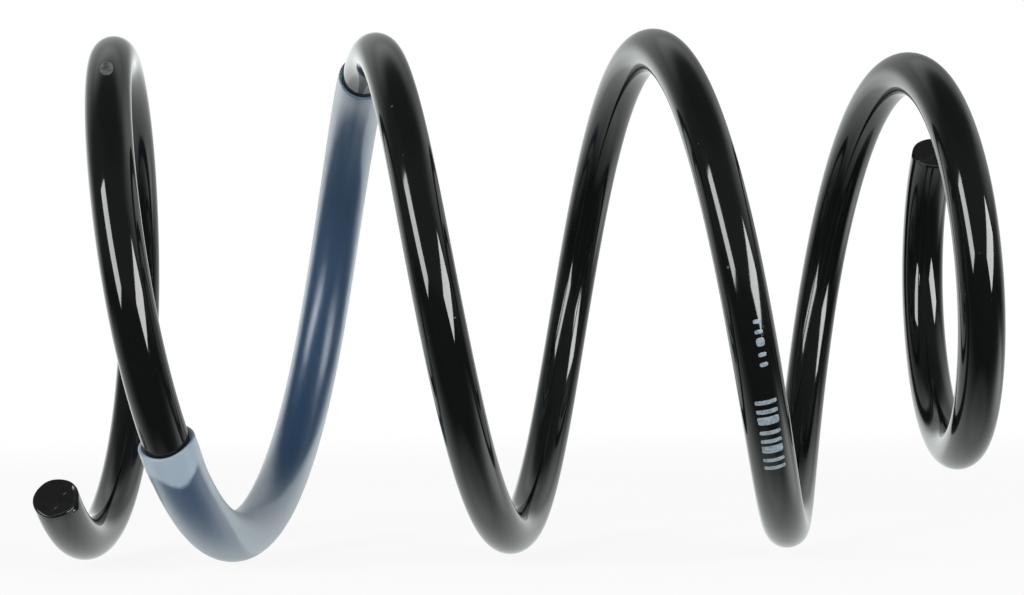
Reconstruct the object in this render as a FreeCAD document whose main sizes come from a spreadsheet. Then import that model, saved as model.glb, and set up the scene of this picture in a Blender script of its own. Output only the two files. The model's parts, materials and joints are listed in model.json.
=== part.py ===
"""Suspension coil spring lying on its side, as a parametric FreeCAD document. All lengths in millimetres.

The spring's axis runs along +X, from the lower end coil (full diameter, slow rise) over the active
coils to the upper end coil (closing to a smaller diameter). Places along the bar are counted in turns:
at 1.0, 2.0 and so on the bar passes a crown (+Z), a quarter turn later it is in front (-Y), then
underneath (-Z), then behind (+Y). The winding is right-handed. z = 0 is the surface that the spring
lies on, x = 0 is half-way along it and y = 0 is the upright plane through its axis.
"""
import FreeCAD, Part
import math
import os

doc = FreeCAD.newDocument("coil_spring")

# ---------------------------------------------------------------- driving dimensions
SIZES = [
    ("wire_diameter", 13.0, "round spring bar, with its coating"),
    ("coil_diameter", 144.0, "centre line of the lower end coil and the active coils"),
    ("top_diameter", 101.0, "centre line of the upper end coil, where it has closed"),
    ("top_offset", 4.3, "how far the upper end coil's centre stands off the axis, towards the crowns"),
    ("start_phase", 0.396, "turns past a crown at which the bar's lower end is cut"),
    ("total_turns", 4.495, "turns from the lower end to the upper end"),
    ("start_pitch", 12.4, "rise per turn in the lower end coil"),
    ("active_pitch", 82.5, "rise per turn in the active coils"),
    ("end_pitch", 4.3, "rise per turn in the upper end coil"),
    ("opens_after", 0.32, "turns from the lower end to where the pitch starts to open"),
    ("opening_turns", 0.64, "turns over which the pitch opens"),
    ("closing_turns", 1.04, "turns over which the pitch closes"),
    ("closed_turns", 0.28, "turns at the end pitch, up to the upper end"),
    ("taper_turns", 1.42, "turns over which the diameter closes"),
    ("tapered_turns", 0.13, "turns at the top diameter, up to the upper end"),
    ("lower_coil_turns", 0.60, "turns that count as the lower end coil"),
    ("upper_coil_turns", 0.79, "turns that count as the upper end coil"),
    ("sleeve_after", 0.952, "turns from the lower end to the sleeve's lower rim"),
    ("sleeve_turns", 0.602, "turns that the protective sleeve covers"),
    ("sleeve_wall", 1.0, "wall of the sleeve's hose"),
    ("sleeve_gap", 0.3, "clearance between the bar and the sleeve"),
    ("end_rounding", 0.6, "rounded edge of the cut ends"),
]

sheet = doc.addObject("Spreadsheet::Sheet", "Sizes")
for row, (name, value, meaning) in enumerate(SIZES, start=1):
    sheet.set(f"A{row}", name)
    sheet.set(f"B{row}", str(value))
    sheet.set(f"C{row}", meaning)
    sheet.setAlias(f"B{row}", name)
doc.recompute()


def size(name):
    """The value of one driving dimension, read from the sheet."""
    return float(getattr(sheet, name))


# ---------------------------------------------------------------- places along the bar, in turns
BAR_START = size("start_phase")
BAR_END = BAR_START + size("total_turns")
OPENING_FROM = BAR_START + size("opens_after")
OPENING_TO = OPENING_FROM + size("opening_turns")
CLOSING_TO = BAR_END - size("closed_turns")
CLOSING_FROM = CLOSING_TO - size("closing_turns")
TAPER_TO = BAR_END - size("tapered_turns")
TAPER_FROM = TAPER_TO - size("taper_turns")
LOWER_SPLIT = BAR_START + size("lower_coil_turns")
UPPER_SPLIT = BAR_END - size("upper_coil_turns")
SLEEVE_FROM = BAR_START + size("sleeve_after")
SLEEVE_TO = SLEEVE_FROM + size("sleeve_turns")

# ---------------------------------------------------------------- the bar's centre line
POINTS_PER_TURN = 24


def eased(position, first, last):
    """0 before first, 1 after last, and a smooth S-curve between them."""
    share = min(max((position - first) / (last - first), 0.0), 1.0)
    return share * share * (3.0 - 2.0 * share)


def eased_area(position, first, last):
    """The area under eased() up to position, in closed form."""
    share = (position - first) / (last - first)
    if share <= 0.0:
        return 0.0
    if share >= 1.0:
        return (share - 0.5) * (last - first)
    return (share ** 3 - 0.5 * share ** 4) * (last - first)


def advance(turn):
    """Distance along the axis from the bar's start: the start pitch, opening to the active pitch and
    then closing to the end pitch, summed over the turns."""
    opened = eased_area(turn, OPENING_FROM, OPENING_TO)
    closed = eased_area(turn, CLOSING_FROM, CLOSING_TO)
    return (
        size("start_pitch") * (turn - BAR_START)
        + (size("active_pitch") - size("start_pitch")) * opened
        + (size("end_pitch") - size("active_pitch")) * closed
    )


def coil_radius(turn):
    """Radius of the centre line: full over the active coils, closing smoothly to the top diameter."""
    full, small = size("coil_diameter") / 2, size("top_diameter") / 2
    return full + (small - full) * eased(turn, TAPER_FROM, TAPER_TO)


def centre(turn):
    """A point of the centre line, about an axis along X through the origin. The closing coil also
    moves off that axis."""
    angle = 2 * math.pi * turn
    radius = coil_radius(turn)
    offset = size("top_offset") * eased(turn, TAPER_FROM, TAPER_TO)
    return FreeCAD.Vector(advance(turn), -radius * math.sin(angle), offset + radius * math.cos(angle))


def slope(turn):
    """Change of the centre line per turn."""
    step = 1e-4
    return (centre(turn + step) - centre(turn - step)) * (0.5 / step)


def spine(name, first, last):
    """The centre line between two turns, as one smooth curve."""
    count = max(4, math.ceil((last - first) * POINTS_PER_TURN)) + 1
    turns = [first + (last - first) * step / (count - 1) for step in range(count)]
    curve = Part.BSplineCurve()
    curve.interpolate(
        Points=[centre(turn) for turn in turns],
        Parameters=turns,
        Tangents=[slope(turn) for turn in turns],
        TangentFlags=[True] * count,
        Scale=False,
    )
    line = doc.addObject("Part::Feature", name)
    line.Shape = Part.Wire([curve.toShape()])
    return line


def swept(name, line, first, radius_formula):
    """A round section, its radius bound to the sheet, swept along a centre line from turn first."""
    section = doc.addObject("Part::Circle", f"{name}_section")
    section.setExpression("Radius", radius_formula)
    turn_to = FreeCAD.Rotation(FreeCAD.Vector(0, 0, 1), slope(first))
    section.Placement = FreeCAD.Placement(centre(first), turn_to)
    solid = doc.addObject("Part::Sweep", name)
    solid.Sections = [section]
    solid.Spine = (line, ["Edge1"])
    solid.Solid = True
    solid.Frenet = True
    return solid


def rounded_end(name, solid, turn):
    """The bar with the edge of its cut face at a turn rounded over."""
    doc.recompute()
    near = size("wire_diameter") / 4
    rims = [
        number
        for number, edge in enumerate(solid.Shape.Edges, start=1)
        if edge.isClosed() and edge.BoundBox.Center.distanceToPoint(centre(turn)) < near
    ]
    rounding = size("end_rounding")
    fillet = doc.addObject("Part::Fillet", name)
    fillet.Base = solid
    fillet.Edges = [(rim, rounding, rounding) for rim in rims]
    return fillet


# ---------------------------------------------------------------- sub-parts
BAR_RADIUS = "Sizes.wire_diameter / 2"
SLEEVE_INSIDE = f"{BAR_RADIUS} + Sizes.sleeve_gap"
SLEEVE_OUTSIDE = f"{SLEEVE_INSIDE} + Sizes.sleeve_wall"


def bar_piece(name, first, last):
    """The stretch of the bar between two turns."""
    return swept(name, spine(f"{name}_line", first, last), first, BAR_RADIUS)


def lower_end_coil():
    """First turn of the bar, at full diameter, which sits in the lower spring seat."""
    stretch = bar_piece("lower_stretch", BAR_START, LOWER_SPLIT)
    return rounded_end("lower_end_coil", stretch, BAR_START)


def active_coils():
    """The open turns that give when the spring is loaded."""
    return bar_piece("active_coils", LOWER_SPLIT, UPPER_SPLIT)


def upper_end_coil():
    """Last turn of the bar, closing to the top diameter, which sits in the upper spring seat."""
    stretch = bar_piece("upper_stretch", UPPER_SPLIT, BAR_END)
    return rounded_end("upper_end_coil", stretch, BAR_END)


def protective_sleeve():
    """Plastic hose pushed over part of the first active coil: an outer sweep less an inner one."""
    line = spine("sleeve_line", SLEEVE_FROM, SLEEVE_TO)
    hose = doc.addObject("Part::Cut", "protective_sleeve")
    hose.Base = swept("sleeve_outside", line, SLEEVE_FROM, SLEEVE_OUTSIDE)
    hose.Tool = swept("sleeve_inside", line, SLEEVE_FROM, SLEEVE_INSIDE)
    return hose


SUBPARTS = [lower_end_coil(), active_coils(), upper_end_coil(), protective_sleeve()]
for subpart in SUBPARTS:
    subpart.Label = subpart.Name
    subpart.setExpression("Placement.Base.z", f"Sizes.coil_diameter / 2 + {SLEEVE_OUTSIDE}")
    subpart.Placement.Base.x = -advance(BAR_END) / 2
doc.recompute()

# ---------------------------------------------------------------- checks and files
for item in doc.Objects:
    if {"Invalid", "Error"} & set(item.State):
        raise RuntimeError(f"{item.Label} failed: {item.State}")
for subpart in SUBPARTS:
    if subpart.Shape.isNull() or not subpart.Shape.isValid():
        raise RuntimeError(f"{subpart.Label} has no valid shape")

os.makedirs("parts", exist_ok=True)
for subpart in SUBPARTS:
    subpart.Shape.exportStep(f"parts/{subpart.Label}.step")
    print(subpart.Label, "volume", round(subpart.Shape.Volume), "mm3")
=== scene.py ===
# %% [markdown]
# # A suspension coil spring: one coated bar, a hose and a printed mark
# The object is a car's coil spring lying on its side. It is a single steel bar, wound into a helix,
# coated glossy black, with a soft plastic hose pushed over part of its first open turn.
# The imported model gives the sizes. Everything here is worked out from it, in metres, in its frame:
# X runs along the spring, Y away from the viewer and Z up.

# %% Load the frame
import json
import math

import bpy
import numpy as np
from mathutils import Matrix, Vector


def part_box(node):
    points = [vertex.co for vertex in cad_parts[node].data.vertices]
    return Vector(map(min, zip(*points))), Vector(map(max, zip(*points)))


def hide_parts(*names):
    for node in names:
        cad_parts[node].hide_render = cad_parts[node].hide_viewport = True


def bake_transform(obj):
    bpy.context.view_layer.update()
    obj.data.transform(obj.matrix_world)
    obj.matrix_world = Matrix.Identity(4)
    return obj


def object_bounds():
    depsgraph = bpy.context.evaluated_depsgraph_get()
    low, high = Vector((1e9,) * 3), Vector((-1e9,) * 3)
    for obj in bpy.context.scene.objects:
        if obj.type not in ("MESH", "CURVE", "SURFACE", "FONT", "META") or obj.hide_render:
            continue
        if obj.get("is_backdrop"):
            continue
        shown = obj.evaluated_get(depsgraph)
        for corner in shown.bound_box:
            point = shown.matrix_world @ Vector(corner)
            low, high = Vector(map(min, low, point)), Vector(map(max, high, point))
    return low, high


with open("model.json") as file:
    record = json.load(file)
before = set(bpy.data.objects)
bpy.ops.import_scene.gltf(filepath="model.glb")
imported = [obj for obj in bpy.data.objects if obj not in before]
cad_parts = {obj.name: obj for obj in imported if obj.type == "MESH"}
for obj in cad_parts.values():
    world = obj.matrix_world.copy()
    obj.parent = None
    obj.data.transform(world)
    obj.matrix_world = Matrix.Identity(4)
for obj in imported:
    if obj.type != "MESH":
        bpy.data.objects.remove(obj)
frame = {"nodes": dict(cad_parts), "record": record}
CAD_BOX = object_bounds()
print("nodes:", ", ".join(sorted(frame["nodes"])))

# %% [markdown]
# ## Sizes that the frame already holds
# A mount is a point and a direction that the designer promised, so it is the best place to read a
# size from. The two cut ends give where the bar starts and stops, and the lower one's distance from
# the axis is the coil's radius. What is left of the active coils' width is half of the bar.

# %% Read sizes from the mounts and boxes
MM = 0.001
mounts = {mount["name"]: np.array(mount["pos_m"]) for mount in frame["record"]["mounts"]}
AXIS_HEIGHT = mounts["lower_seat"][2]
LOWER_END = mounts["lower_end_stop"]
UPPER_END = mounts["upper_end_stop"]
COIL_RADIUS = math.hypot(LOWER_END[1], LOWER_END[2] - AXIS_HEIGHT)
BAR_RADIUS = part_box("active_coils")[1].y - COIL_RADIUS
print(f"bar {2000 * BAR_RADIUS:.2f} mm thick, coil radius {1000 * COIL_RADIUS:.2f} mm")

# %% [markdown]
# ## The bar's centre line
# A spring can be drawn with Blender's Screw modifier, but that only knows one pitch. A real one opens
# and closes: its pitch and its diameter change along the bar. So the line is a function of the number
# of turns, counted from a crown. Each change is an S-curve, and the way along the axis is the area
# under the pitch, which has a closed form.

# %% Centre line as a function of turns
TURNS = 4.495
START = math.atan2(-LOWER_END[1], LOWER_END[2] - AXIS_HEIGHT) / math.tau
END = START + TURNS
START_PITCH, ACTIVE_PITCH, END_PITCH = 12.4 * MM, 82.5 * MM, 4.3 * MM
OPENING = (START + 0.32, START + 0.96)
CLOSING = (END - 1.32, END - 0.28)
TAPER = (END - 1.55, END - 0.13)
TOP_RADIUS, TOP_OFFSET = 50.5 * MM, 4.3 * MM


def eased(position, first, last):
    """0 before first, 1 after last, and 3s^2 - 2s^3 of the share s between them."""
    share = np.clip((position - first) / (last - first), 0.0, 1.0)
    return share * share * (3.0 - 2.0 * share)


def eased_area(position, first, last):
    """The area under eased(): s^3 - s^4/2 times the span, and a straight line past its end."""
    share = np.clip((position - first) / (last - first), 0.0, 1.0)
    past = np.maximum(position - last, 0.0)
    return (share**3 - 0.5 * share**4) * (last - first) + past


def advance(turns):
    """Way along the axis: the start pitch, plus what each change of pitch adds."""
    opened = (ACTIVE_PITCH - START_PITCH) * eased_area(turns, *OPENING)
    closed = (END_PITCH - ACTIVE_PITCH) * eased_area(turns, *CLOSING)
    return LOWER_END[0] + START_PITCH * (turns - START) + opened + closed


def centre(turns):
    """Centre line: a circle about the axis that shrinks and rises as the upper end closes."""
    closed = eased(turns, *TAPER)
    radius = COIL_RADIUS + (TOP_RADIUS - COIL_RADIUS) * closed
    angle = math.tau * turns
    height = AXIS_HEIGHT + TOP_OFFSET * closed + radius * np.cos(angle)
    return np.stack([advance(turns), -radius * np.sin(angle), height], axis=-1)


def slope(turns, step=1e-4):
    """Change of the centre line per turn, in metres, from two close points."""
    return (centre(turns + step) - centre(turns - step)) / (2 * step)


def unit(vectors):
    """Vectors scaled to length 1."""
    return vectors / np.linalg.norm(vectors, axis=-1, keepdims=True)


print("upper end is off by", 1000 * np.linalg.norm(centre(np.array(END)) - UPPER_END).round(6), "mm")

# %% [markdown]
# ## A skin around the line
# At each turn the line has three directions: along the bar, out from the spring's axis, and across.
# A point of the skin is the centre, plus a radius times a mix of out and across. Because "out" is
# tied to the axis, the grid never twists, which it would do if each ring were turned from the last.

# %% Skin of a round bar
def directions(turns):
    """Along the bar, out from the axis and square to the bar, and across, which is along x out."""
    along = unit(slope(turns))
    angle = math.tau * turns
    away = np.stack([0 * angle, -np.sin(angle), np.cos(angle)], axis=-1)
    out = unit(away - np.sum(away * along, axis=-1, keepdims=True) * along)
    return along, out, np.cross(along, out)


def skin(turns, angles, radii, push=0.0):
    """Centre + radius * (cos(angle) * out + sin(angle) * across) + push * along the bar."""
    turns, angles, radii, push = np.broadcast_arrays(turns, angles, radii, push)
    along, out, across = directions(turns)
    spoke = np.cos(angles)[..., None] * out + np.sin(angles)[..., None] * across
    return centre(turns) + radii[..., None] * spoke + push[..., None] * along


cad = frame["nodes"]["active_coils"].data
corners = np.zeros(3 * len(cad.vertices), np.float32)
cad.vertices.foreach_get("co", corners)
sample = corners.reshape(-1, 3)[::40]
line = centre(np.linspace(START, END, 3000))
gaps = np.array([np.linalg.norm(line - point, axis=1).min() for point in sample])
gaps = gaps[gaps > 0.9 * BAR_RADIUS]
print(f"CAD skin stands {1000 * gaps.min():.3f} to {1000 * gaps.max():.3f} mm from the line")

# %% [markdown]
# ## From arrays to a mesh
# A grid of points needs only numbers to become faces: each face joins four neighbours, and the last
# column joins the first. A closed shape ends in a pole at each side, joined by a fan of triangles.
# `foreach_set` hands whole arrays to Blender, which is much quicker than making faces one by one.

# %% Grid and mesh helpers
def grid_faces(rows, columns, ring=False):
    """Four corners of each face of a grid that closes round its columns, and round its rows if ring."""
    row = np.arange(rows if ring else rows - 1)[:, None]
    column = np.arange(columns)[None, :]
    here, there = row * columns, ((row + 1) % rows) * columns
    after = (column + 1) % columns
    return np.stack([here + column, here + after, there + after, there + column], -1).reshape(-1, 4)


def closed_shape(grid, first_pole, last_pole):
    """Points and faces of a grid of rings with a pole before its first ring and one after its last."""
    rows, columns = grid.shape[:2]
    count = rows * columns
    near = np.arange(columns)
    far = (near + 1) % columns
    start = np.stack([np.full(columns, count), far, near], -1)
    last = count - columns
    end = np.stack([np.full(columns, count + 1), last + near, last + far], -1)
    points = np.vstack([grid.reshape(-1, 3), first_pole, last_pole])
    return points, [grid_faces(rows, columns), start, end]


def new_piece(name, points, faces):
    """A smooth-shaded mesh object at the origin, from points and arrays of faces' corners."""
    mesh = bpy.data.meshes.new(name)
    sides = np.concatenate([np.full(len(group), group.shape[1]) for group in faces])
    loops = np.concatenate([group.ravel() for group in faces])
    mesh.vertices.add(len(points))
    mesh.vertices.foreach_set("co", np.asarray(points, np.float32).ravel())
    mesh.loops.add(len(loops))
    mesh.loops.foreach_set("vertex_index", loops.astype(np.int32))
    mesh.polygons.add(len(sides))
    starts = np.concatenate([[0], np.cumsum(sides)[:-1]])
    mesh.polygons.foreach_set("loop_start", starts.astype(np.int32))
    mesh.update(calc_edges=True)
    mesh.shade_smooth()
    piece = bpy.data.objects.new(name, mesh)
    bpy.context.scene.collection.objects.link(piece)
    print(name, len(points), "points,", int(np.sum(sides - 2)), "triangles")
    return piece


def give(piece, name, values):
    """Stores one number per point on a mesh, for a material to read."""
    attribute = piece.data.attributes.new(name, "FLOAT", "POINT")
    attribute.data.foreach_set("value", values.astype(np.float32))


# %% [markdown]
# ## Uneven surfaces
# Nothing sprayed or sheared is perfectly even. A few cosine waves in different directions, with
# random but seeded starts, make a smooth, repeatable unevenness. On the bar the waves run round whole
# numbers of times, so they meet at the seam.

# %% Smooth random waves
chance = np.random.default_rng(7)


def around_waves(turns, angles, per_turn, count):
    """Mean of cosines of (k * angle + m * turn + start), with whole k, for a pattern on the bar."""
    total = 0.0
    for _ in range(count):
        k = chance.integers(0, 4)
        m = chance.uniform(0.3, 1.0) * per_turn * math.tau
        total = total + np.cos(k * angles + m * turns + chance.uniform(0, math.tau))
    return total / math.sqrt(count)


def flat_waves(x, y, wavelength, count):
    """Mean of cosines in random directions across a flat face."""
    total = 0.0
    for _ in range(count):
        heading = chance.uniform(0, math.tau)
        number = math.tau / (wavelength * chance.uniform(0.6, 1.6))
        distance = x * math.cos(heading) + y * math.sin(heading)
        total = total + np.cos(number * distance + chance.uniform(0, math.tau))
    return total / math.sqrt(count)


# %% [markdown]
# ## The bar
# On the real spring this is one piece of steel, so it is one closed skin here too. It could be three
# pieces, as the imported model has, but then two seams would cross the gloss. The rings start at the
# middle of the lower cut face, run out to its rounded edge, follow the bar for four and a half turns
# and end at the middle of the upper cut face.
#
# The bar was sheared, not sawn. A shear leaves a smooth bite on one side, a torn step below it and a
# thin lip where it broke away. Those are pushed out of and into the face as real relief, and the
# thick coating rounds them all.

# %% Cut faces
EDGE = 0.6 * MM
AROUND = 96
CAP_RINGS = 26
EDGE_RINGS = 7
angles = np.linspace(0, math.tau, AROUND, endpoint=False)[None, :]


def sheared_face(radii, heading, bite, tear):
    """Height of a sheared face: a tilt, a torn step across a wavy line and small bumps, which all
    fade out at the edge."""
    x, y = radii * np.cos(angles - heading), radii * np.sin(angles - heading)
    inside = 1.0 - eased(radii / BAR_RADIUS, 0.80, 0.97)
    wavy = x + 0.9 * MM * flat_waves(x, y, 7 * MM, 4) - 0.18 * BAR_RADIUS
    step = eased(wavy, -0.5 * MM, 0.5 * MM)
    bumps = flat_waves(x, y, 4.2 * MM, 7) + 0.45 * flat_waves(x, y, 1.7 * MM, 9)
    return inside * (-bite * step + tear * bumps * (0.35 + 0.65 * step))


def end_rings(turn, sign, heading, bite, tear):
    """Rings of one end, from the middle of the face outwards and over the rounded edge: turns, radii
    and how far each point is pushed along the bar."""
    speed = np.linalg.norm(slope(np.array(turn)))
    flat = np.linspace(0, BAR_RADIUS - EDGE, CAP_RINGS + 1)[1:, None]
    bend = np.linspace(0, math.pi / 2, EDGE_RINGS + 1)[1:, None]
    radii = np.vstack([flat, BAR_RADIUS - EDGE + EDGE * np.sin(bend)])
    back = np.vstack([0 * flat, EDGE * (1 - np.cos(bend))])
    ragged = 0.16 * MM * around_waves(0, 2 * angles, 0, 5) * eased(radii / BAR_RADIUS, 0.6, 0.9)
    height = sheared_face(radii, heading, bite, tear) + ragged * (back < 0.8 * EDGE)
    return turn - sign * back / speed, radii, sign * height


START_FACE = end_rings(START, -1, math.radians(-60), 0.35 * MM, 0.05 * MM)
END_FACE = end_rings(END, 1, math.radians(200), 0.30 * MM, 0.03 * MM)
print("lower face relief", (1000 * np.ptp(START_FACE[2])).round(2), "mm")

# %% Bar skin
RINGS_PER_TURN = 176
first, last = START_FACE[0][-1, 0], END_FACE[0][-1, 0]
body_turns = np.linspace(first, last, round(TURNS * RINGS_PER_TURN))[1:-1, None]
coat = 0.018 * MM * around_waves(body_turns, angles, 9, 8)
ends = eased(body_turns, START, START + 0.02) * (1 - eased(body_turns, END - 0.02, END))
bar_turns = np.vstack([START_FACE[0], body_turns, END_FACE[0][::-1]])
bar_radii = np.vstack(
    [START_FACE[1] + 0 * angles, BAR_RADIUS + coat * ends, END_FACE[1][::-1] + 0 * angles]
)
bar_push = np.vstack([START_FACE[2], 0 * coat, END_FACE[2][::-1]])
bar_grid = skin(bar_turns, angles, bar_radii, bar_push)
poles = [bar_grid[0].mean(0), bar_grid[-1].mean(0)]
bar = new_piece("spring_bar", *closed_shape(bar_grid, *poles))

face_rings = CAP_RINGS + 2
on_face = np.zeros(bar_grid.shape[:2])
on_face[:face_rings] = 1.0
on_face[-face_rings:] = 1.0
give(bar, "cut_face", np.append(on_face.ravel(), [1.0, 1.0]))

# %% [markdown]
# ## The share of the joint's travel
# The imported model has one joint: the upper end slides towards the lower end. Between them every turn
# gives, so a point would follow the upper end by the share of the open coil that lies below it. The
# share is worked out per turn, not per point of the skin, and it is eased at both ends. No piece is
# moved by it here: each piece only has its placement baked into its points.

# %% Share of the travel, per turn
GIVES_FROM, GIVES_TO = START + 0.42, END - 0.62
EASE = 0.30
fine_turns = np.linspace(START, END, 4000)
rate = slope(fine_turns)[:, 0] * eased(fine_turns, GIVES_FROM, GIVES_FROM + EASE)
rate = rate * (1 - eased(fine_turns, GIVES_TO - EASE, GIVES_TO))
travel = np.cumsum(rate)
travel = travel / travel[-1]


def follow_joint(piece):
    """Bakes a piece's placement into its points; it does not blend the piece between the two ends."""
    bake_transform(piece)


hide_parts("lower_end_coil", "active_coils", "upper_end_coil")
follow_joint(bar)
print("half of the travel is taken up at turn", np.interp(0.5, travel, fine_turns).round(2))

# %% [markdown]
# ## The hose
# It is a length of soft vinyl hose, which keeps the first open turn from knocking on the seat coil.
# Its skin is one closed ring of a section: outside, over the rim, back along the inside, over the
# other rim. Near its lower rim it is belled out and stands off the bar. Elsewhere the hose grips
# the bar, which makes it look dark. Two numbers per point are stored on the mesh for the material.
# The first is how firmly the hose grips. It is low near the lower rim, where the paler look is
# partly the real gap and partly a painted reflection of the white floor and wall, and in a long
# band on one side, which is a painted reflection only. The second is how slack it is past its
# lower bend.

# %% Hose skin
SLEEVE_FROM, SLEEVE_TO = START + 0.952, START + 1.554
WALL = 1.0 * MM
GRIP_GAP, BELL_GAP, LIFT_GAP = 0.14 * MM, 0.36 * MM, 0.05 * MM
HOSE_RINGS = 300
RIM_RINGS = 8
hose_turns = np.linspace(SLEEVE_FROM, SLEEVE_TO, HOSE_RINGS)[:, None]
metres_per_turn = float(np.linalg.norm(slope(np.array(SLEEVE_FROM))))
way_in = (hose_turns - SLEEVE_FROM) * metres_per_turn
way_out = (SLEEVE_TO - hose_turns) * metres_per_turn
wander = 1.0 * MM * around_waves(0, angles, 0, 4)
belled = 1 - eased(way_in + wander, 4 * MM, 15 * MM)
lifted = 1 - eased(way_out, 0, 4 * MM)
sag = 0.06 * MM * around_waves(hose_turns, angles, 6, 6)
inside = BAR_RADIUS + GRIP_GAP + BELL_GAP * belled + LIFT_GAP * lifted
outside = inside + WALL * (1 - 0.25 * lifted) + sag * (1 - 0.5 * belled)
rim = np.linspace(0, math.pi, RIM_RINGS + 2)[1:-1, None]


def rim_rings(turn, sign, inner, outer):
    """Half a round section between the outer and the inner wall, bulging past the end of the hose."""
    middle, half = (outer + inner) / 2, (outer - inner) / 2
    bulge = 0.45 * half * np.sin(rim)
    return turn + sign * bulge / metres_per_turn, middle + half * np.cos(rim)


upper = rim_rings(SLEEVE_TO, 1, inside[-1:], outside[-1:])
lower = rim_rings(SLEEVE_FROM, -1, inside[:1], outside[:1])
wide = 0 * angles
hose_t = np.vstack([hose_turns + wide, upper[0], hose_turns[::-1] + wide, lower[0][::-1]])
hose_r = np.vstack([outside + wide, upper[1], inside[::-1] + wide, lower[1][::-1]])
ragged_rim = 0.35 * MM * around_waves(0, angles, 0, 3) / metres_per_turn
hose_t = hose_t + ragged_rim * (1 - eased(hose_t, SLEEVE_FROM, SLEEVE_FROM + 0.02))
hose_grid = skin(hose_t, angles, hose_r)
sleeve = new_piece(
    "protective_hose", hose_grid.reshape(-1, 3), [grid_faces(*hose_grid.shape[:2], ring=True)]
)
past_rim = (hose_t - SLEEVE_FROM) * metres_per_turn + 2.2 * wander
# A long band on one side is drawn paler: a painted reflection of the white floor and wall.
REFLECTION_BAND_TURNS = [1.36, 1.40, 1.43, 1.48, 1.55, 1.65, 1.73, 1.83, 1.88, 1.95]
REFLECTION_BAND_FROM = np.radians([185, 185, 185, 190, 210, 243, 248, 229, 203, 190])
REFLECTION_BAND_TO = np.radians([302, 290, 293, 320, 330, 345, 345, 330, 320, 310])
reflection_band_wave = 0.09 * around_waves(hose_t, 0 * angles, 9, 5)
past_from = angles - np.interp(hose_t, REFLECTION_BAND_TURNS, REFLECTION_BAND_FROM) - reflection_band_wave
to_end = np.interp(hose_t, REFLECTION_BAND_TURNS, REFLECTION_BAND_TO) - angles - reflection_band_wave
in_reflection_band = eased(past_from, 0.0, 0.24) * eased(to_end, 0.0, 0.24)
# The grip value: low near the lower rim, partly for the real gap and partly as a painted reflection,
# and lowered in the band as a painted reflection.
grip_less_painted_reflection = eased(past_rim, 9.0 * MM, 11.0 * MM) * (1 - 0.85 * in_reflection_band)
give(sleeve, "grip_with_painted_reflection", grip_less_painted_reflection.ravel())
give(sleeve, "slack", (0.35 + 0.45 * eased(hose_t, 1.50, 1.66) + 0 * angles).ravel())
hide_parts("protective_sleeve")
follow_joint(sleeve)

# %% [markdown]
# ## Small raised marks
# A printed mark and a blob of coating are both thin cushions lying on the bar. One function makes
# them: an outline between a rectangle and an ellipse, rings from its middle to its edge, and a height
# that falls off near the edge. A last pole under the surface closes the shape.

# %% Cushions on the bar
PAD_AROUND = 40
PAD_RINGS = np.array([0.15, 0.35, 0.55, 0.72, 0.84, 0.92, 0.97, 1.0])[:, None]
EDGE_SINK, POLE_SINK = 0.004 * MM, 0.2 * MM


def pad(turn, angle, length, width, height, square, dish=0.0):
    """A cushion whose outline is a superellipse: at 2 an ellipse, and higher nearer a rectangle. Its
    height falls as 1 - ring^8 and dish hollows its middle. Returns points, faces and turns."""
    theta = np.linspace(0, math.tau, PAD_AROUND, endpoint=False)[None, :]
    reach = (np.abs(np.cos(theta)) ** square + np.abs(np.sin(theta)) ** square) ** (-1 / square)
    speed = float(np.linalg.norm(slope(np.array(turn))))
    along = PAD_RINGS * reach * np.cos(theta) * length / 2 / speed
    around = -PAD_RINGS * reach * np.sin(theta) * width / 2 / BAR_RADIUS
    rise = height * (1 - PAD_RINGS**8) * (1 - dish * (1 - PAD_RINGS**2)) - EDGE_SINK
    grid = skin(turn + along, angle + around, BAR_RADIUS + rise + 0 * theta)
    top = skin(np.array(turn), np.array(angle), np.array(BAR_RADIUS + height * (1 - dish)))
    under = skin(np.array(turn), np.array(angle), np.array(BAR_RADIUS - POLE_SINK))
    points, faces = closed_shape(grid, top, under)
    return points, faces, np.append((turn + along).ravel(), [turn, turn])


def join(parts):
    """Puts several shapes into one: later faces count on from the points before them."""
    points, faces, turns, count = [], [], [], 0
    for part_points, part_faces, part_turns in parts:
        points.append(part_points)
        faces.extend(group + count for group in part_faces)
        turns.append(part_turns)
        count += len(part_points)
    return np.vstack(points), faces, np.concatenate(turns)


# %% [markdown]
# ## The printed batch mark
# Springs carry a printed mark on one coil. This one is a plain pattern that says nothing: eight
# strokes across the bar and five short dashes before them.

# %% Batch mark
MARK_TURN, MARK_ANGLE = 3.3165, math.radians(-4)
STROKES = [
    (0.0, 1.2), (2.6, 1.2), (5.2, 2.3), (8.7, 1.2), (11.3, 1.2), (13.9, 2.3), (17.4, 1.2), (20.0, 1.2)
]
DASHES = [(-20.0, 1.1), (-17.4, 1.1), (-14.8, 2.2), (-11.6, 1.1), (-9.0, 1.1)]
per_metre = 1 / metres_per_turn
strokes = [
    pad(MARK_TURN + (at + 1) * MM * per_metre, MARK_ANGLE, long * MM, 6.2 * MM, 0.03 * MM, 7)
    for at, long in STROKES
]
dashes = [
    pad(MARK_TURN + at * MM * per_metre, MARK_ANGLE - 0.16, long * MM, 2.4 * MM, 0.03 * MM, 3)
    for at, long in DASHES
]
points, faces, turns = join(strokes + dashes)
mark = new_piece("batch_mark", points, faces)
follow_joint(mark)

# %% [markdown]
# ## The hook mark
# The spring hung from a hook while it was coated. Where the hook touched, near a crown, the coating
# gathered into a shallow dish with a lip. Its middle is coloured grey, a painted reflection of the
# bright surroundings that makes the spot lighter than the coating.

# %% Hook mark
points, faces, turns = pad(1.101, math.radians(-3), 7.2 * MM, 3.7 * MM, 0.36 * MM, 2.1, dish=0.9)
drop = new_piece("hook_mark", points, faces)
follow_joint(drop)

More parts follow.
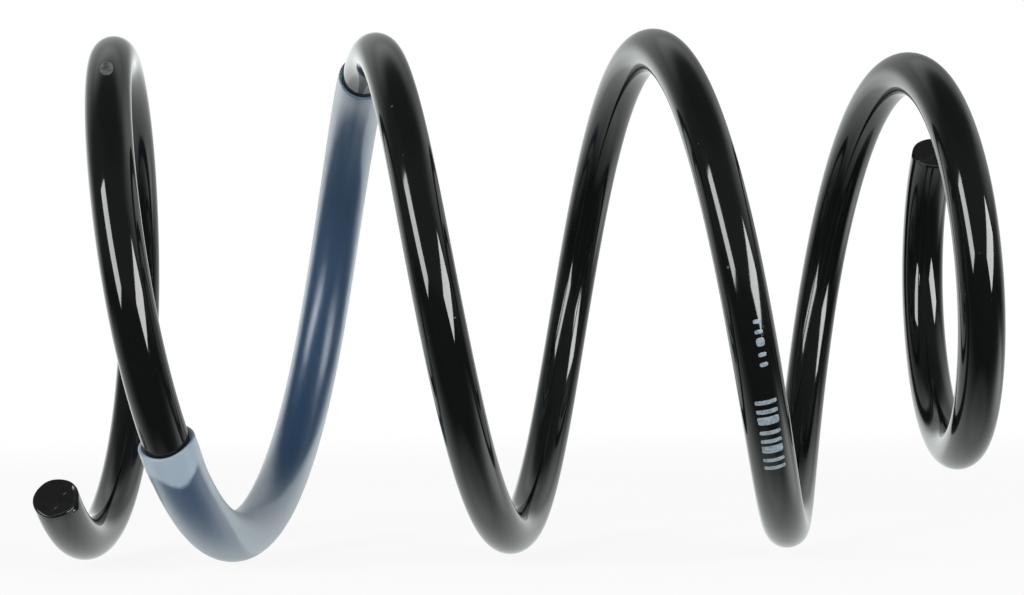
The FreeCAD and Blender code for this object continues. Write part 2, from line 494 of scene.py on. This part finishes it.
# %% [markdown]
# ## Shader maths as plain sums
# Nodes are easier to read as sums. `Value` wraps a socket, and its operators add Math nodes, so
# `1 - dust` means what it says. Every other node comes from `Shader.node`.

# %% Value and Shader
class Value:
    """An output socket that can be added, subtracted and multiplied."""

    def __init__(self, shader, socket):
        self.shader, self.socket = shader, socket

    def math(self, operation, *numbers):
        """The output of a Math node over numbers and values."""
        return self.shader.node("ShaderNodeMath", {"operation": operation}, dict(enumerate(numbers)))

    def __add__(self, other):
        return self.math("ADD", self, other)

    def __sub__(self, other):
        return self.math("SUBTRACT", self, other)

    def __rsub__(self, other):
        return self.math("SUBTRACT", other, self)

    def __mul__(self, other):
        return self.math("MULTIPLY", self, other)

    __radd__, __rmul__ = __add__, __mul__

    def between(self, low, high):
        """0 below low, 1 above high and smooth between them."""
        settings = {"interpolation_type": "SMOOTHSTEP"}
        inputs = {"Value": self, "From Min": low, "From Max": high}
        return self.shader.node("ShaderNodeMapRange", settings, inputs)


class Shader:
    """One node tree, and the one way of adding a node to it."""

    def __init__(self, tree):
        self.tree = tree
        tree.nodes.clear()

    def node(self, kind, settings=None, inputs=None, output=0):
        """Adds a node: its settings first, then its sockets' numbers or links. Gives one output."""
        made = self.tree.nodes.new(kind)
        for name, setting in (settings or {}).items():
            setattr(made, name, setting)
        for name, value in (inputs or {}).items():
            if isinstance(value, Value):
                self.tree.links.new(value.socket, made.inputs[name])
            else:
                made.inputs[name].default_value = value
        return Value(self, made.outputs[output]) if made.outputs else None

    def mix(self, share, low, high):
        """A colour that goes from low to high."""
        return self.node("ShaderNodeMix", {"data_type": "RGBA"}, {0: share, 6: low, 7: high}, 2)

    def split(self, vector):
        """The X, Y and Z of a vector."""
        return [self.node("ShaderNodeSeparateXYZ", None, {0: vector}, axis) for axis in "XYZ"]


def material(name):
    """A new material and the Shader for its tree."""
    made = bpy.data.materials.new(name)
    made.use_nodes = True
    return made, Shader(made.node_tree)


# %% [markdown]
# ## Black coating
# The bar is powder coated: a thick, wet-looking skin, nearly black. Its colour hardly matters, and
# what the eye reads is what it mirrors. So the care goes into the gloss: a low roughness that varies
# in soft patches, orange peel under a millimetre deep in the bump, fine dust that dulls single spots,
# and a duller, rougher film on the cut faces. Orange peel as real relief would need millions of faces.

# %% Coating material
BLACK = (0.0036, 0.0041, 0.0042, 1.0)
DUST_GREY = (0.055, 0.056, 0.055, 1.0)
FACE_BLACK = (0.0075, 0.0078, 0.0076, 1.0)

coating, shader = material("black_coating")
place = shader.node("ShaderNodeTexCoord", output="Object")


def noise(shader, place, size, detail=2.0):
    """Cloudy noise whose patches are about one size across, in metres. Its mean is about 0.5."""
    inputs = {"Vector": place, "Scale": 1 / size, "Detail": detail}
    return shader.node("ShaderNodeTexNoise", None, inputs)


def specks(shader, place, spacing, radius, share):
    """1 in small round spots: near a Voronoi cell's point, in only a share of the cells."""
    inputs = {"Vector": place, "Scale": 1 / spacing}
    near = shader.node("ShaderNodeTexVoronoi", None, inputs, output="Distance")
    cell = shader.node("ShaderNodeTexVoronoi", None, inputs, output="Color")
    chosen = shader.node("ShaderNodeSeparateColor", None, {"Color": cell}, output=0)
    spot = 1 - near.between(0.6 * radius / spacing, 1.4 * radius / spacing)
    return spot * (1 - chosen.between(share, share + 0.01))


on_cut = shader.node("ShaderNodeAttribute", {"attribute_name": "cut_face"}, output="Fac")
cloud = noise(shader, place, 28 * MM, 3.0)
haze = noise(shader, place, 5 * MM)
fine_dust = specks(shader, place, 3.2 * MM, 0.16 * MM, 0.10)
dust = fine_dust + specks(shader, place, 9 * MM, 0.35 * MM, 0.12)
colour = shader.mix(dust.between(0.0, 1.0), BLACK, DUST_GREY)
colour = shader.mix(on_cut, colour, FACE_BLACK)
rough = 0.050 + 0.055 * cloud.between(0.35, 0.7) + 0.03 * haze.between(0.4, 0.75)
rough = rough + 0.25 * dust + 0.10 * on_cut
peel = noise(shader, place, 1.6 * MM)
wave = noise(shader, place, 9 * MM)
relief = 0.10 * peel + wave + 0.6 * (on_cut * noise(shader, place, 0.9 * MM, 4.0))
bump = shader.node("ShaderNodeBump", None, {"Height": relief, "Strength": 1.0, "Distance": 0.012 * MM})
surface = shader.node(
    "ShaderNodeBsdfPrincipled",
    None,
    {"Base Color": colour, "Roughness": rough, "Normal": bump, "IOR": 1.5},
)
shader.node("ShaderNodeOutputMaterial", None, {"Surface": surface})
bar.data.materials.append(coating)

# %% [markdown]
# ## Vinyl hose
# The hose is clear vinyl with a blue dye. Where it grips the bar one sees the dark steel through it,
# and where air lies between, the wall looks milky. Near the lower rim and in a long band on one side
# its body is drawn paler still, as a painted reflection of the white floor and wall. At its edges
# one looks along the wall instead of through it, so it is palest there. A single transmissive shader
# can't do all that, so three are mixed: a slightly rough glass, a soft blue body, and a milky one for
# the edges. A volume would be truer, but it renders slowly and exports badly.

# %% Hose material
vinyl, shader = material("vinyl_hose")
place = shader.node("ShaderNodeTexCoord", output="Object")
grip_with_painted_reflection = shader.node("ShaderNodeAttribute", {"attribute_name": "grip_with_painted_reflection"}, output="Fac")
cloud = noise(shader, place, 12 * MM, 1.0)
streak = noise(shader, place, 40 * MM)
rough = 0.285 + 0.04 * cloud.between(0.35, 0.7)
bump = shader.node("ShaderNodeBump", None, {"Height": cloud, "Strength": 1.0, "Distance": 0.03 * MM})


def vinyl_layer(colour, clear, roughness):
    """One of the hose's looks: its colour, how much of it is see-through, and its roughness."""
    inputs = {
        "Base Color": colour,
        "Roughness": roughness,
        "Normal": bump,
        "IOR": 1.45,
        "Transmission Weight": clear,
    }
    return shader.node("ShaderNodeBsdfPrincipled", None, inputs)


# The pale colour and larger body share where the grip value is low are partly the milky real gap and
# partly a painted reflection of the white floor and wall.
dye_and_painted_reflection = shader.mix(grip_with_painted_reflection, (0.34, 0.42, 0.49, 1.0), (0.040, 0.098, 0.20, 1.0))
body_share_and_painted_reflection = 0.62 - 0.34 * grip_with_painted_reflection + 0.10 * (streak - 0.5)
glassy = vinyl_layer((0.62, 0.78, 0.93, 1.0), 1.0, rough)
body = vinyl_layer(dye_and_painted_reflection, 0.0, rough)
milky = vinyl_layer((0.60, 0.65, 0.67, 1.0), 0.35, 0.5)
through = shader.node("ShaderNodeMixShader", None, {0: body_share_and_painted_reflection, 1: glassy, 2: body})
edge = shader.node("ShaderNodeLayerWeight", None, {"Blend": 0.5}, "Facing")
slack = shader.node("ShaderNodeAttribute", {"attribute_name": "slack"}, output="Fac")
along = slack * edge.between(0.36, 0.72)
mixed = shader.node("ShaderNodeMixShader", None, {0: along, 1: through, 2: milky})
shader.node("ShaderNodeOutputMaterial", None, {"Surface": mixed})
sleeve.data.materials.append(vinyl)

# %% [markdown]
# ## Marking ink
# The mark is stamped with a thin grey-blue ink, a little duller than the coating under it. It could
# be a painted texture, but thin solid strokes keep their edges sharp from close by. The ink is
# slightly uneven, as a stamp leaves it.

# %% Ink material
ink, shader = material("marking_ink")
place = shader.node("ShaderNodeTexCoord", output="Object")
worn = noise(shader, place, 0.8 * MM, 2.0).between(0.35, 0.75)
colour = shader.mix(worn, (0.21, 0.25, 0.28, 1.0), (0.11, 0.14, 0.16, 1.0))
surface = shader.node("ShaderNodeBsdfPrincipled", None, {"Base Color": colour, "Roughness": 0.35})
shader.node("ShaderNodeOutputMaterial", None, {"Surface": surface})
mark.data.materials.append(ink)

# %% [markdown]
# ## Painted reflection on the hook mark
# The middle of the hook mark is a dull grey, a painted reflection of the bright surroundings that
# makes it lighter than the coating. It's a plain surface with patches of black, because nothing in it
# is thick enough to show depth.

# %% Hook mark material, with a painted reflection
hook_reflection, shader = material("painted_reflection_grey")
place = shader.node("ShaderNodeTexCoord", output="Object")
patchy = noise(shader, place, 1.5 * MM, 3.0).between(0.35, 0.7)
# The grey is a painted reflection of the bright surroundings, which makes the hook mark's middle look
# lighter than the coating.
colour = shader.mix(patchy, (0.10, 0.104, 0.102, 1.0), (0.028, 0.030, 0.029, 1.0))
rough = 0.28 + 0.12 * patchy
surface = shader.node("ShaderNodeBsdfPrincipled", None, {"Base Color": colour, "Roughness": rough})
shader.node("ShaderNodeOutputMaterial", None, {"Surface": surface})
drop.data.materials.append(hook_reflection)

# %% [markdown]
# ## Floor and surroundings
# A glossy black thing shows its surroundings more than itself. A product studio has white paper below
# and behind, and a dark room in front. The spring mirrors the world, which is shaped for that: white
# where a direction leads to the wall or the table behind it, nearly dark on the viewer's side. The
# wall is brightest low down and on the left, as if by a window, and a bench and a card stand on the
# right. For the camera the world is plain white, and the floor is pale paper that only takes a faint
# shadow.

# %% Floor
FLOOR_RADIUS, FLOOR_RINGS, FLOOR_SIDES = 6.0, 24, 64
ring_radii = np.geomspace(0.05, FLOOR_RADIUS, FLOOR_RINGS)[:, None, None]
ring_angles = np.linspace(0, math.tau, FLOOR_SIDES, endpoint=False)[None, :, None]
circle = np.concatenate([np.cos(ring_angles), np.sin(ring_angles), 0 * ring_angles], -1)
floor_grid = ring_radii * circle
floor_points = np.vstack([floor_grid.reshape(-1, 3), [[0.0, 0.0, 0.0]]])
middle = np.full(FLOOR_SIDES, FLOOR_RINGS * FLOOR_SIDES)
inner_ring = np.arange(FLOOR_SIDES)
fan = np.stack([middle, inner_ring, np.roll(inner_ring, -1)], -1)
floor_faces = grid_faces(FLOOR_RINGS, FLOOR_SIDES)[:, ::-1]
floor = new_piece("floor", floor_points, [fan, floor_faces])
floor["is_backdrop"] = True

paper, shader = material("pale_paper")
place = shader.node("ShaderNodeTexCoord", output="Object")
reach = shader.node("ShaderNodeVectorMath", {"operation": "LENGTH"}, {0: place}, "Value")
matte = shader.node("ShaderNodeBsdfDiffuse", None, {"Color": (0.90, 0.90, 0.895, 1.0)})
glow = shader.node("ShaderNodeEmission", None, {"Color": (1.0, 1.0, 1.0, 1.0), "Strength": 1.0})
share = 0.90 + 0.10 * reach.between(0.35, 1.2)
lit = shader.node("ShaderNodeMixShader", None, {0: share, 1: matte, 2: glow})
shader.node("ShaderNodeOutputMaterial", None, {"Surface": lit})
floor.visible_glossy = False
floor.data.materials.append(paper)

# %% Surroundings
world = bpy.data.worlds.new("studio")
world.use_nodes = True
bpy.context.scene.world = world
shader = Shader(world.node_tree)
x, y, z = shader.split(shader.node("ShaderNodeTexCoord", output="Generated"))
above = z.between(-0.30, -0.12)
front = 0.02 + 0.11 * z.between(-0.10, 0.12) * (1 - 0.45 * z.between(0.75, 0.95))
window = 1.45 - 0.65 * x.between(-0.3, 0.3)
height = 1 - 0.66 * z.between(0.06, 0.38) + 0.25 * z.between(0.60, 0.75)
wall = above * y.between(0.05, 0.75) * window * height
wall = wall * (1 - 0.85 * z.between(0.80, 0.95))
table = (1 - above) * y.between(-0.45, 0.60) * (1.0 - 0.15 * x.between(-0.3, 0.3))
bench = (1 - above) * 1.3 * x.between(0.60, 0.92) * y.between(-0.2, 0.3)
bench = bench * (1 - z.between(-0.35, -0.2))
below = 0.32 * (1 - z.between(-0.97, -0.84))
card = 0.6 * x.between(0.35, 0.75) * y.between(-0.45, 0.1)
card = card * z.between(0.2, 0.4) * (1 - z.between(0.55, 0.8))
room = front + wall + table + bench + below + card
seen = shader.node("ShaderNodeLightPath", output="Is Camera Ray")
strength = seen + (1 - seen) * room
tint = shader.mix(seen, (0.95, 1.0, 0.985, 1.0), (1.0, 1.0, 1.0, 1.0))
background = shader.node("ShaderNodeBackground", None, {"Color": tint, "Strength": strength})
shader.node("ShaderNodeOutputWorld", None, {"Surface": background})

# %% [markdown]
# ## Two strip lights
# The long pointed streaks on every coil are the mirror images of two strip softboxes, one on each
# side of the viewer. Their place decides which side of a coil they show on, their length how far the
# streaks run, and their tilt the points. Each is given by where it stands as seen from the spring.

# %% Lights
def strip_light(name, azimuth, height, along, size, radiance, distance=1.6):
    """A rectangular light. Azimuth turns from the viewer's side towards +X and height is above the
    floor, in degrees; along is its long side as (azimuth, height) steps, and size its two sides."""
    a, h = math.radians(azimuth), math.radians(height)
    toward = Vector((math.sin(a) * math.cos(h), -math.cos(a) * math.cos(h), math.sin(h)))
    aside = Vector((math.cos(a), math.sin(a), 0.0))
    upward = toward.cross(aside)
    long_side = (along[0] * aside + along[1] * upward).normalized()
    short_side = long_side.cross(toward)
    lamp = bpy.data.lights.new(name, "AREA")
    lamp.shape = "RECTANGLE"
    lamp.size, lamp.size_y = size[1], size[0]
    lamp.energy = radiance * math.pi * size[0] * size[1]
    stand = bpy.data.objects.new(name, lamp)
    spot = Vector((0.0, 0.0, AXIS_HEIGHT)) + toward * distance
    turn = Matrix((short_side, long_side, toward)).transposed()
    stand.matrix_world = Matrix.Translation(spot) @ turn.to_4x4()
    stand.visible_camera = False
    bpy.context.scene.collection.objects.link(stand)
    print(name, "at", [round(value, 2) for value in spot], f"{lamp.energy:.1f} W")


strip_light("strip_left", -42, 15, (23.3, -36.9), (1.29, 0.56), 11.0)
strip_light("strip_right", 53, 8, (30.4, 25.0), (1.14, 0.58), 12.5)

# %% [markdown]
# ## Camera
# The camera stands a little below the spring's axis, two thirds of a metre away, with a moderate
# telephoto lens, so the far half of each coil looks only a little smaller than the near half.

# %% Camera
DISTANCE, ASIDE, BELOW = 0.6513, -0.0042, 0.020
YAW, PITCH, ROLL = -0.002365, 0.02833, -0.013994
FOCAL_LENGTH, SENSOR_WIDTH = 75.88, 36.0
right = Vector((math.cos(YAW), math.sin(YAW), 0.0))
ahead = Vector((-math.sin(YAW), math.cos(YAW), 0.0))
sky = Vector((0.0, 0.0, 1.0))
forward = math.cos(PITCH) * ahead + math.sin(PITCH) * sky
upright = -math.sin(PITCH) * ahead + math.cos(PITCH) * sky
side = math.cos(ROLL) * right + math.sin(ROLL) * upright
top = -math.sin(ROLL) * right + math.cos(ROLL) * upright
lens = bpy.data.cameras.new("camera")
lens.lens, lens.sensor_width, lens.clip_start = FOCAL_LENGTH, SENSOR_WIDTH, 0.01
camera = bpy.data.objects.new("camera", lens)
place = Matrix.Translation((ASIDE, -DISTANCE, AXIS_HEIGHT - BELOW))
camera.matrix_world = place @ Matrix((side, top, -forward)).transposed().to_4x4()
bpy.context.scene.collection.objects.link(camera)
bpy.context.scene.camera = camera
bpy.context.scene.view_settings.view_transform = "Standard"

# %% [markdown]
# ## Sizes
# Blender only dresses the imported model, so the dressed box has to match the imported one.

# %% Compare sizes
DRESSED_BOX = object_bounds()
for side_name, cad_corner, dressed_corner in zip(["low", "high"], CAD_BOX, DRESSED_BOX):
    moved = [round(1000 * (b - a), 2) for a, b in zip(cad_corner, dressed_corner)]
    print(f"{side_name} corner of the box moved by", moved, "mm")
